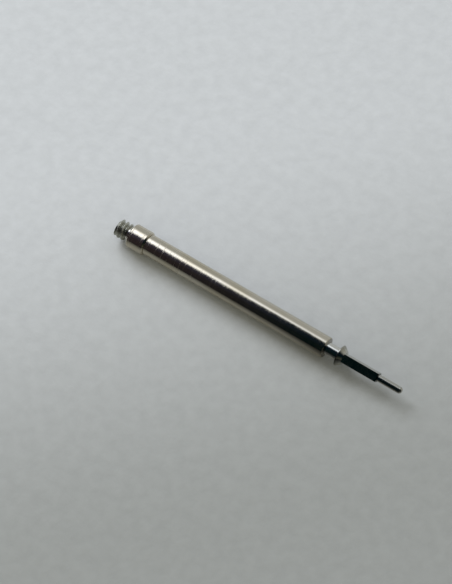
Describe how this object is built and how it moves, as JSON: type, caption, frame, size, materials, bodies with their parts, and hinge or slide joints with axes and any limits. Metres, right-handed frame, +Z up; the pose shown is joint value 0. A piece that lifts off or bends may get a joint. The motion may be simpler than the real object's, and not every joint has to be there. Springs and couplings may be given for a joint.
{
  "type": "watch stem",
  "caption": "Two-part winding stem: a threaded crown half snaps onto a long barrel with setting groove, square and pilot.",
  "frame": {"origin": "on the stem's axis, in the plane of the collar face that the crown seats on", "axes": "+X along the stem from the crown end to the movement end, +Z up as the stem lies"},
  "size_m": [0.0156, 0.0012, 0.0012],
  "materials": {
    "post_steel": "machined",
    "plated_collar": "bright nickel plate",
    "spring_steel": "drawn wire",
    "plated_barrel": "bright nickel plate",
    "hardened_steel": "polished"
  },
  "bodies": {
    "movement_half": {"barrel_sleeve": "plated_barrel", "spindle": "hardened_steel"},
    "crown_half": {"joint_hub": "plated_collar", "crown_post": "post_steel", "snap_ring": "spring_steel"}
  },
  "joints": [
    {"name": "crown_release", "type": "slide", "parent": "movement_half", "child": "crown_half", "axis": [-1, 0, 0], "range_m": [0, 0.00074], "deforming": ["snap_ring"]}
  ]
}
